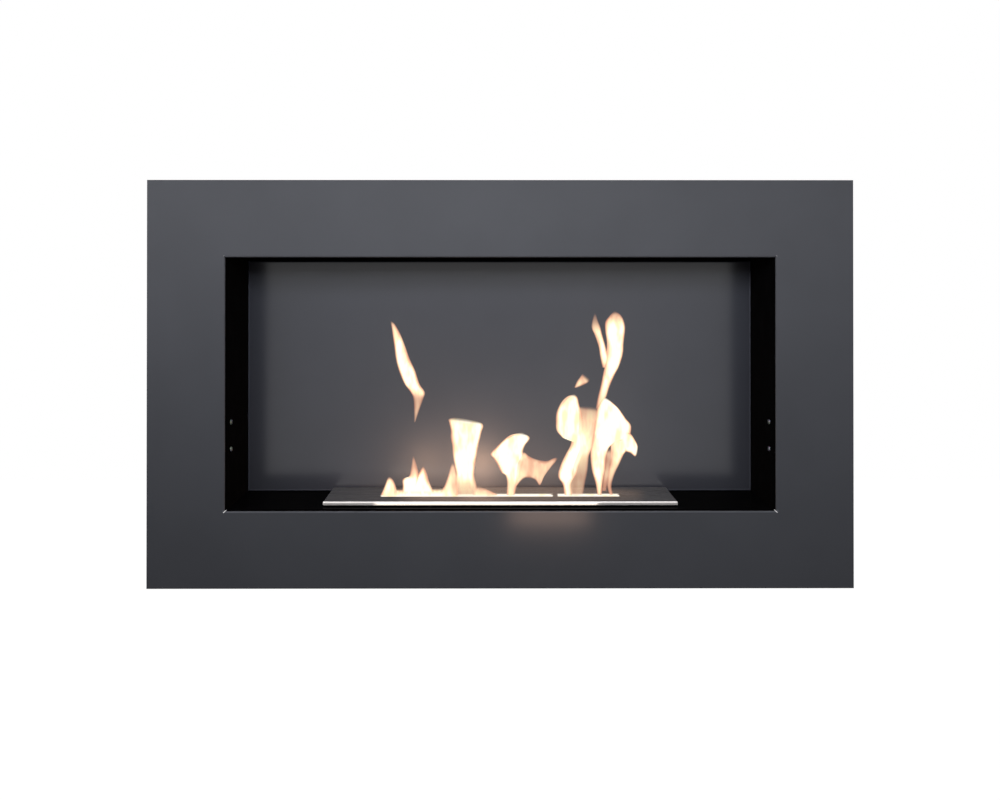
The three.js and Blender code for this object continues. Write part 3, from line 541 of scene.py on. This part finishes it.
COLUMN = [
    [(-65, 0.5, -28, 0.5, 0.36), (-61, 15, -32, 14, 0.5), (-58, 28, -35, 26, 0.9), (-60, 40, -34, 40, 1),
     (-62, 52, -32, 52, 1), (-63, 65, -30, 64, 1), (-65, 77, -27, 77, 1), (-65, 86, -25, 85, 1),
     (-67, 96, -23, 91, 0.95), (-68, 101, -24, 95, 0.8), (-63, 103, -28, 97, 0.6)],
    [(-36, 0.5, -3, 0.5, 0.6), (-34, 6, -13, 5, 0.5), (-32, 12, -23, 10, 0.3)],
]
CRESCENT = [
    [(9, 0.5, 19, 0.5, 0.85), (10, 15, 22, 15, 0.9), (8, 26, 25, 26, 1), (2, 31, 27, 34, 1),
     (-3, 41, 29, 41, 1), (-8, 49, 31, 50, 1), (-12, 55, 30, 59, 1), (-5, 63, 33, 67, 1),
     (4, 72, 37, 72, 0.95), (13, 79, 39, 76, 0.95), (24, 82, 37, 79, 0.85), (29, 83, 33, 81, 0.7)],
    [(24, 51, 20, 10, 0.6), (32, 56, 30, 22, 0.55), (39, 51, 39, 24, 0.52), (48, 47, 47, 21, 0.5),
     (57, 45, 53, 14, 0.5), (64, 45, 59, 26, 0.5), (70, 48, 68, 38, 0.48), (76, 50, 77, 48, 0.35)],
]
RIGHT_FIRE = [
    [(86, 0.5, 96, 0.5, 0.85), (84, 14, 94, 15, 0.85), (78, 25, 101, 28, 0.95), (81, 39, 104, 40, 1),
     (88, 54, 109, 52, 1), (94, 65, 114, 65, 1), (96, 74, 114, 77, 1), (96, 82, 112, 87, 0.9)],
    [(83, 77, 105, 69, 1), (76, 86, 109, 82, 1), (75, 98, 110, 97, 1), (76, 110, 108, 110, 1),
     (82, 123, 105, 120, 1), (90, 131, 103, 129, 1), (98, 134, 101, 133, 0.85)],
    [(90, 0.5, 110, 0.5, 0.3), (87, 18, 113, 18, 0.31), (88, 33, 116, 33, 0.35), (93, 48, 118, 52, 0.5),
     (98, 65, 123, 65, 0.72), (100, 82, 126, 82, 0.66), (101, 99, 129, 102, 0.46),
     (101, 114, 130, 111, 0.35), (106, 118, 129, 116, 0.25)],
    [(130, 0.5, 135, 0.5, 0.7), (128, 15, 136, 15, 0.9), (123, 33, 139, 33, 1), (121, 52, 141, 52, 1),
     (122, 67, 146, 65, 1), (124, 80, 159, 72, 1), (126, 93, 171, 77, 1), (128, 104, 174, 92, 1),
     (130, 115, 167, 102, 1), (134, 125, 157, 116, 1), (138, 131, 145, 127, 0.9)],
    [(164, 89, 161, 62, 1), (170, 85, 167, 59, 1), (175, 80, 173, 57, 1), (179, 74, 177, 54, 1),
     (183, 66, 180, 52, 0.9), (183, 59, 182, 54, 0.7)],
    [(146, 0.5, 150, 0.5, 0.45), (143, 13, 148, 13, 0.42), (144, 28, 152, 28, 0.5),
     (147, 42, 158, 41, 0.58), (148, 55, 164, 54, 0.8), (148, 65, 169, 62, 0.95), (150, 77, 171, 75, 1)],
    [(136, 6, 141, 6, 0.35), (138, 28, 145, 28, 0.42), (140, 45, 148, 45, 0.36), (142, 60, 154, 61, 0.42)],
]
TALL_TONGUE = [
    [(128, 115, 130, 116, 0.4), (131, 130, 140, 129, 0.6), (135, 146, 145, 144, 0.75),
     (138, 161, 152, 160, 0.9), (140, 171, 158, 172, 1), (142, 188, 163, 188, 1), (143, 203, 164, 203, 1),
     (141, 218, 166, 220, 1), (141, 230, 165, 230, 0.7), (146, 238, 161, 239, 0.44),
     (152, 245, 154, 245, 0.3)],
]
SIDE_TONGUE = [
    [(137, 170, 141, 170, 0.5), (134, 185, 144, 181, 0.8), (132, 198, 140, 198, 0.95),
     (127, 213, 136, 212, 0.95), (123, 222, 133, 224, 0.5), (123, 230, 130, 232, 0.3),
     (126, 243, 127, 243, 0.14)],
]
LOOSE_LICK = [
    [(99.5, 143.5, 100.5, 143, 0.5), (103, 151, 108, 146, 0.56), (108, 158, 116, 150, 0.5),
     (110, 162, 120, 154, 0.3)],
]
FLAMES = {
    "flame_left_wisp": LEFT_WISP,
    "flame_left_licks": LEFT_LICKS,
    "flame_column": COLUMN,
    "flame_crescent": CRESCENT,
    "flame_right": RIGHT_FIRE,
    "flame_tall_tongue": TALL_TONGUE,
    "flame_side_tongue": SIDE_TONGUE,
    "flame_loose_lick": LOOSE_LICK,
}

THINNEST = 0.4 * MM  # least width that a tongue counts as having
OUTWARD_SHARE = 0.4  # of the softness, by which each edge is moved outwards
DEPTH_SHARE = 0.7  # of a tongue's half width, up to the thickness
END_VEIL = 0.1  # share of its density that a tongue keeps at its ends
ROOT_START = 4 * MM  # how far along its fade a tongue's root is
DENSE_HEAT = 0.9  # heat from which a veil is at its densest


def tongue(stations, settings):
    """A tongue's closed surface, and its core and veil at each point.

    The stations give two smooth edges in the plane of the slots, each moved outwards by a share of the
    softness. Round from one edge to the other runs an ellipse, whose short half axis is the depth,
    towards the room. The depth grows with the width, up to the thickness set. Both the veil and the core
    rise as a smoothstep of the distance from the nearer edge, and the veil also rises from either end and
    with the heat.
    """
    curve = through(stations, settings.rows)
    left, right = curve[:, 0:2] * MM, curve[:, 2:4] * MM
    heat = np.clip(curve[:, 4], 0, 1)[:, None]
    width = np.maximum(np.linalg.norm(right - left, axis=1), THINNEST)[:, None]
    outwards = OUTWARD_SHARE * settings.edge_softness
    aside = (right - left) / width * outwards
    left, right, half = left - aside, right + aside, width / 2 + outwards
    u = np.linspace(0, 2 * np.pi, settings.ring, endpoint=False)
    across = (right + left)[:, None] / 2 - (right - left)[:, None] / 2 * np.cos(u)[None, :, None]
    depth = np.minimum(half * DEPTH_SHARE, settings.thickness) * np.sin(u)
    x, z = PLATE_MIDDLE.x + across[..., 0], PLATE_TOP + across[..., 1]
    points, faces = tube_mesh(np.stack([x, SLOT_MIDDLE_Y + depth, z], -1))
    middle = (left + right) / 2
    run = np.concatenate([[0], np.cumsum(np.linalg.norm(np.diff(middle, axis=0), axis=1))])[:, None]
    from_end = np.minimum(run + ROOT_START, run[-1] - run)
    fade = END_VEIL + (1 - END_VEIL) * smoothstep(0, 2 * settings.edge_softness, from_end)
    inside = half * (1 - np.abs(np.cos(u)))
    veil = fade * smoothstep(0, settings.edge_softness, inside) * smoothstep(0, DENSE_HEAT, heat)
    core = smoothstep(0, settings.core_depth, inside) * heat
    ends = [0, -1]
    core = np.concatenate([core.ravel(), core[ends].max(1)])
    veil = np.concatenate([veil.ravel(), veil[ends].max(1)])
    return points, faces, core, veil


def flame(name, tongues, settings, material):
    """Makes a piece of fire from one or more tongues."""
    made = [tongue(stations, settings) for stations in tongues]
    attributes = {"core": [m[2] for m in made], "veil": [m[3] for m in made]}
    piece = make_piece(name, [m[:2] for m in made], attributes)
    piece.data.materials.append(material)
    piece.visible_shadow = False
    piece.visible_glossy = False
    burn_down(piece)


def burn_down(piece):
    """Rides a piece of fire on the burner, with a mesh of its own.
    """
    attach(piece, "burner")
    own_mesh(piece)


def glow_strip(name, slot, material):
    """Makes the glowing mouth of a slot: a flat lens across its width, just under the plate's top face.

    Its section across the slot is an ellipse, which a superellipse of a high power rounds off at either end.
    Its rings stand closer together towards its ends, as the cosine of an even step does.
    """
    rows, ring = 60, 16
    end_gap, side_gap = 0.5 * MM, 0.4 * MM
    sunk, half_height = 0.9 * MM, 0.45 * MM
    bluntness = 90
    end_size = 0.05
    t = 0.5 - 0.5 * np.cos(np.linspace(0, np.pi, rows))
    x = slot[0] + end_gap + (slot[1] - slot[0] - 2 * end_gap) * t
    rounding = np.sqrt(np.clip(1 - np.abs(2 * t - 1) ** bluntness, 0, 1))
    size = np.maximum(rounding, end_size)[:, None]
    u = np.linspace(0, 2 * np.pi, ring, endpoint=False)
    y = SLOT_MIDDLE_Y + (SLOT_HALF_DEPTH - side_gap) * np.cos(u) * size
    z = PLATE_TOP - sunk + half_height * np.sin(u) * size
    points, faces = tube_mesh(np.stack([np.broadcast_to(x[:, None], y.shape), y, z], -1))
    ones = np.ones(len(points))
    piece = make_piece(name, [(points, faces)], {"core": [ones], "veil": [ones]})
    piece.data.materials.append(material)
    burn_down(piece)


# ---- Operators ----------------------------------------------------------------------------------------


class FIREPLACE_OT_coat_casework(bpy.types.Operator):
    """Powder-coats the frame, the back panel and the casing"""

    bl_idname = "fireplace.coat_casework"
    bl_label = "Coat the frame and casing"

    def execute(self, context):
        finishes = context.scene.fireplace_finishes
        graphite = tuple(finishes.graphite)
        black = tuple(finishes.black)
        dress(frame_coat(graphite, finishes.graphite_roughness, black), "front_frame")
        dress(graphite_coat(tuple(finishes.panel), finishes.panel_roughness), "back_panel")
        outside = tuple(finishes.outside)
        walls = black_coat("black_coat", black, finishes.wall_sheen, roughness=0.4, outer=outside)
        dress(walls, *nodes_starting("casing_", "floor_ledge", "floor_crossbar", "frame_bracket_"))
        dress(black_coat("floor_coat", black, finishes.floor_sheen, roughness=0.16), "floor_panel")
        return {"FINISHED"}


class FIREPLACE_OT_finish_fittings(bpy.types.Operator):
    """Zinc-plates the screws, the hooks and the hanging plates"""

    bl_idname = "fireplace.finish_fittings"
    bl_label = "Plate the screws and hooks"

    def execute(self, context):
        finishes = context.scene.fireplace_finishes
        zinc = zinc_plate("zinc_plate", tuple(finishes.zinc))
        dress(zinc, *nodes_starting("top_screw", "bottom_screw", "hang_plate", "panel_h"))
        dress(zinc_plate("dark_zinc", tuple(finishes.screws)), *nodes_starting("side_screw"))
        return {"FINISHED"}


class FIREPLACE_OT_finish_burner(bpy.types.Operator):
    """Gives the burner, its shutter and its grille their brushed steel"""

    bl_idname = "fireplace.finish_burner"
    bl_label = "Finish the burner"

    def execute(self, context):
        finishes = context.scene.fireplace_finishes
        steel = brushed_steel(tuple(finishes.steel), finishes.steel_roughness)
        dress(steel, *nodes_starting("burner_", "shutter", "wool_grille"))
        return {"FINISHED"}


class FIREPLACE_OT_wool(bpy.types.Operator):
    """Lays the ceramic wool in the tank"""

    bl_idname = "fireplace.wool"
    bl_label = "Lay the wool"

    def execute(self, context):
        piece = wool_block()
        piece.data.materials.append(wool_fibre(tuple(context.scene.fireplace_finishes.wool)))
        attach(piece, "burner")
        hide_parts("absorbent_wool")
        return {"FINISHED"}


def wool_block():
    """The block of wool, a rounded oblong whose surface is matted in low waves.

    Round it, a superellipse gives the plan. Up it, the outline comes out over the bottom edge, goes up
    the side and in over the top edge on a superellipse of the same power, so both edges are rounded. The
    waves are a sine along the block times one across it, and a finer pair, and they draw the surface in
    by a small share.
    """
    low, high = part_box("absorbent_wool")
    middle, half = (low + high) / 2, (high - low) / 2
    rows, ring = 60, 160
    squareness = 8
    power = 2 / squareness
    wave_depth = 0.012
    length_share = 0.998
    v = np.linspace(-np.pi / 2, np.pi / 2, rows)[1:-1, None]
    u = np.linspace(0, 2 * np.pi, ring, endpoint=False)[None, :]
    reach = np.abs(np.cos(v)) ** power
    x = half.x * reach * np.sign(np.cos(u)) * np.abs(np.cos(u)) ** power
    y = half.y * reach * np.sign(np.sin(u)) * np.abs(np.sin(u)) ** power
    z = half.z * np.sign(np.sin(v)) * np.abs(np.sin(v)) ** power + 0 * u
    broad_waves = np.sin(x * 210 + 1.3) * np.sin(y * 330 + 0.4)
    fine_waves = 0.6 * np.sin(x * 470) * np.sin(y * 620 + z * 90)
    shrink = 1 - wave_depth * (1 + 0.5 * (broad_waves + fine_waves))
    grid = np.stack([middle.x + x * length_share, middle.y + y * shrink, middle.z + z * shrink], -1)
    return make_piece("wool_block", [tube_mesh(grid)])


class FIREPLACE_OT_fire(bpy.types.Operator):
    """Lights the burner: the tongues of fire and the glow in the slots"""

    bl_idname = "fireplace.fire"
    bl_label = "Light the fire"

    def execute(self, context):
        settings = context.scene.fireplace_fire
        colours = [tuple(c) for c in (settings.edge, settings.middle, settings.glow, settings.core)]
        material = fire(*colours, settings.strength)
        for name, tongues in FLAMES.items():
            flame(name, tongues, settings, material)
        glow_strip("glow_long_slot", LONG_SLOT, material)
        glow_strip("glow_short_slot", SHORT_SLOT, material)
        return {"FINISHED"}


class FIREPLACE_OT_stage(bpy.types.Operator):
    """Sets up the white studio: floor, surroundings, lights and camera"""

    bl_idname = "fireplace.stage"
    bl_label = "Set up the studio"

    def execute(self, context):
        scene = context.scene
        studio = scene.fireplace_studio
        pale_floor(studio)
        surroundings(scene, studio)
        studio_lamps(studio)
        fire_lamps(studio)
        camera(scene, studio)
        scene.view_settings.view_transform = "Standard"
        scene.cycles.transparent_max_bounces = 32
        return {"FINISHED"}


# ---- The studio ---------------------------------------------------------------------------------------


def pale_floor(studio):
    """A wide pale floor under the hung fireplace, nearly white to the camera and to gloss."""
    reach = 6.0
    white_share = 0.84
    corners = [(-reach, -reach), (reach, -reach), (reach, reach), (-reach, reach)]
    mesh = bpy.data.meshes.new("floor")
    mesh.from_pydata([(x, y, -studio.floor_drop) for x, y in corners], [], [(0, 1, 2, 3)])
    floor = bpy.data.objects.new("floor", mesh)
    bpy.context.scene.collection.objects.link(floor)
    nodes = Nodes("pale_floor")
    rays = nodes.add("LightPath")
    dull = nodes.add("BsdfDiffuse", {"Color": (0.9, 0.9, 0.9, 1)})
    white = nodes.add("Emission", {"Color": (1, 1, 1, 1), "Strength": 1.2})
    seen = nodes.math("MAXIMUM", rays.outputs["Is Camera Ray"], rays.outputs["Is Glossy Ray"])
    share = nodes.math("MULTIPLY", seen, white_share)
    mix = nodes.add("MixShader", {0: share, 1: dull.outputs[0], 2: white.outputs[0]})
    mesh.materials.append(nodes.finish(mix))


def surroundings(scene, studio):
    """White to the camera and to gloss, and an even fill for everything else."""
    world = bpy.data.worlds.new("studio_white")
    scene.world = world
    world.use_nodes = True
    tree = world.node_tree
    background = tree.nodes["Background"]
    rays = tree.nodes.new("ShaderNodeLightPath")
    seen = tree.nodes.new("ShaderNodeMath")
    seen.operation = "MAXIMUM"
    tree.links.new(rays.outputs["Is Camera Ray"], seen.inputs[0])
    tree.links.new(rays.outputs["Is Glossy Ray"], seen.inputs[1])
    either = tree.nodes.new("ShaderNodeMath")
    either.operation = "MAXIMUM"
    tree.links.new(seen.outputs[0], either.inputs[0])
    tree.links.new(rays.outputs["Is Transmission Ray"], either.inputs[1])
    level = tree.nodes.new("ShaderNodeMapRange")
    level.inputs["To Min"].default_value = studio.fill
    level.inputs["To Max"].default_value = 1.0
    tree.links.new(either.outputs[0], level.inputs["Value"])
    background.inputs["Color"].default_value = (1, 1, 1, 1)
    tree.links.new(level.outputs["Result"], background.inputs["Strength"])


def softbox(name, place, target, size, power):
    """An oblong soft light at place, facing target."""
    light = bpy.data.lights.new(name, "AREA")
    light.shape = "RECTANGLE"
    light.size, light.size_y = size
    light.energy = power
    lamp = bpy.data.objects.new(name, light)
    lamp.location = place
    lamp.rotation_euler = (Vector(target) - Vector(place)).to_track_quat("-Z", "Y").to_euler()
    lamp.visible_camera = False
    bpy.context.scene.collection.objects.link(lamp)
    return lamp


def studio_lamps(studio):
    """The studio's lamps: a wide and a narrow softbox over the front, and one behind the fireplace."""
    ahead, height, depth = FRONT_Y - 0.62, 0.31, 0.16
    upper_border = (0.0, FRONT_Y, 0.2)
    key = softbox("key_softbox", (-0.1, ahead, height), upper_border, (1.7, depth), studio.key_power)
    key.data.spread = math.radians(125)
    softbox("middle_softbox", (0.0, ahead, height), upper_border, (0.5, depth), studio.middle_power)
    softbox("rear_softbox", (0.5, 1.2, 0.7), (0.0, 0.0, 0.0), (1.2, 0.6), studio.rear_power)


# The colours of the fire's light: on the frame and in the plate's top, among the flames, and in the plate's
# front edge.
WARM = (1.0, 0.64, 0.42)
DEEP = (1.0, 0.58, 0.32)
PALE = (1.0, 0.88, 0.74)

# The lamps among the flames: how far each is right of the burner's middle, behind the slots' middle and
# above the plate, and its radius, all in millimetres, and then its share of the fire's power.
FIRE_LAMPS = {
    "fire_lamp_left": (-104, 30, 30, 20, 0.55),
    "fire_lamp_middle": (-26, 36, 30, 18, 1.0),
    "fire_lamp_right": (64, 34, 16, 14, 0.18),
}


def fire_lamps(studio):
    """The fire's own light: lamps among the flames, a spill on the frame's lower border, and two glints."""
    for name, (right, behind, above, radius, share) in FIRE_LAMPS.items():
        place = (right * MM, SLOT_MIDDLE_Y + behind * MM, PLATE_TOP + above * MM)
        fire_lamp(name, place, radius * MM, studio.fire_power * share)

    x = 62 * MM
    place, border = (x, FRONT_Y - 20 * MM, -167 * MM), (x, FRONT_Y, -172 * MM)
    spill = softbox("spill_lamp", place, border, (100 * MM, 4 * MM), studio.spill_power)
    spill.data.color = WARM
    spill.visible_glossy = False

    x = -18 * MM
    place, edge = (x, LIP_BACK, PLATE_TOP - 3 * MM), (x, 0, PLATE_TOP)
    glint = softbox("lip_glint", place, edge, (290 * MM, 12 * MM), studio.glint_power)
    glint.data.color = PALE
    glint.visible_diffuse = False

    place = Vector((30 * MM, PLATE_HIGH.y + 2 * MM, PLATE_TOP + 14 * MM))
    glow = softbox("plate_glow", place, place - Vector((0, 1, 0.2)), (340 * MM, 26 * MM), studio.glow_power)
    glow.data.shape = "ELLIPSE"
    glow.data.color = WARM
    glow.visible_diffuse = False


def fire_lamp(name, place, radius, power):
    """A small round lamp of deep orange that only matt surfaces show."""
    light = bpy.data.lights.new(name, "POINT")
    light.energy = power
    light.shadow_soft_size = radius
    light.color = DEEP
    lamp = bpy.data.objects.new(name, light)
    lamp.location = place
    lamp.visible_glossy = False
    bpy.context.scene.collection.objects.link(lamp)


def camera(scene, studio):
    """The camera, at the height of the frame's upper part, with its lens shifted."""
    data = bpy.data.cameras.new("camera")
    data.lens = studio.lens
    data.shift_x, data.shift_y = studio.shift
    eye = bpy.data.objects.new("camera", data)
    eye.location = studio.camera_place
    eye.rotation_euler = (math.pi / 2 + studio.tilt, 0, studio.turn)
    scene.collection.objects.link(eye)
    scene.camera = eye


# ---- The panel and the steps in order -----------------------------------------------------------------


class FIREPLACE_PT_panel(bpy.types.Panel):
    """Lists the steps that finish the fireplace"""

    bl_label = "Fireplace"
    bl_idname = "FIREPLACE_PT_panel"
    bl_space_type = "VIEW_3D"
    bl_region_type = "UI"
    bl_category = "Fireplace"

    def draw(self, context):
        for operator in OPERATORS:
            self.layout.operator(operator.bl_idname)
        for group_name in GROUPS:
            group = getattr(context.scene, group_name)
            for name in group.__annotations__:
                self.layout.prop(group, name)


OPERATORS = (
    FIREPLACE_OT_coat_casework,
    FIREPLACE_OT_finish_fittings,
    FIREPLACE_OT_finish_burner,
    FIREPLACE_OT_wool,
    FIREPLACE_OT_fire,
    FIREPLACE_OT_stage,
)
GROUPS = {
    "fireplace_finishes": FireplaceFinishes,
    "fireplace_fire": FireplaceFire,
    "fireplace_studio": FireplaceStudio,
}


def register():
    """Registers the settings, the operators and the panel."""
    for name, group in GROUPS.items():
        bpy.utils.register_class(group)
        setattr(bpy.types.Scene, name, PointerProperty(type=group))
    for operator in OPERATORS:
        bpy.utils.register_class(operator)
    bpy.utils.register_class(FIREPLACE_PT_panel)


def unregister():
    """Takes them away again."""
    bpy.utils.unregister_class(FIREPLACE_PT_panel)
    for operator in reversed(OPERATORS):
        bpy.utils.unregister_class(operator)
    for name, group in GROUPS.items():
        delattr(bpy.types.Scene, name)
        bpy.utils.unregister_class(group)


def main():
    """Finishes the fireplace step by step."""
    register()
    bpy.ops.fireplace.coat_casework()
    bpy.ops.fireplace.finish_fittings()
    bpy.ops.fireplace.finish_burner()
    bpy.ops.fireplace.wool()
    bpy.ops.fireplace.fire()
    bpy.ops.fireplace.stage()


if __name__ == "__main__":
    main()
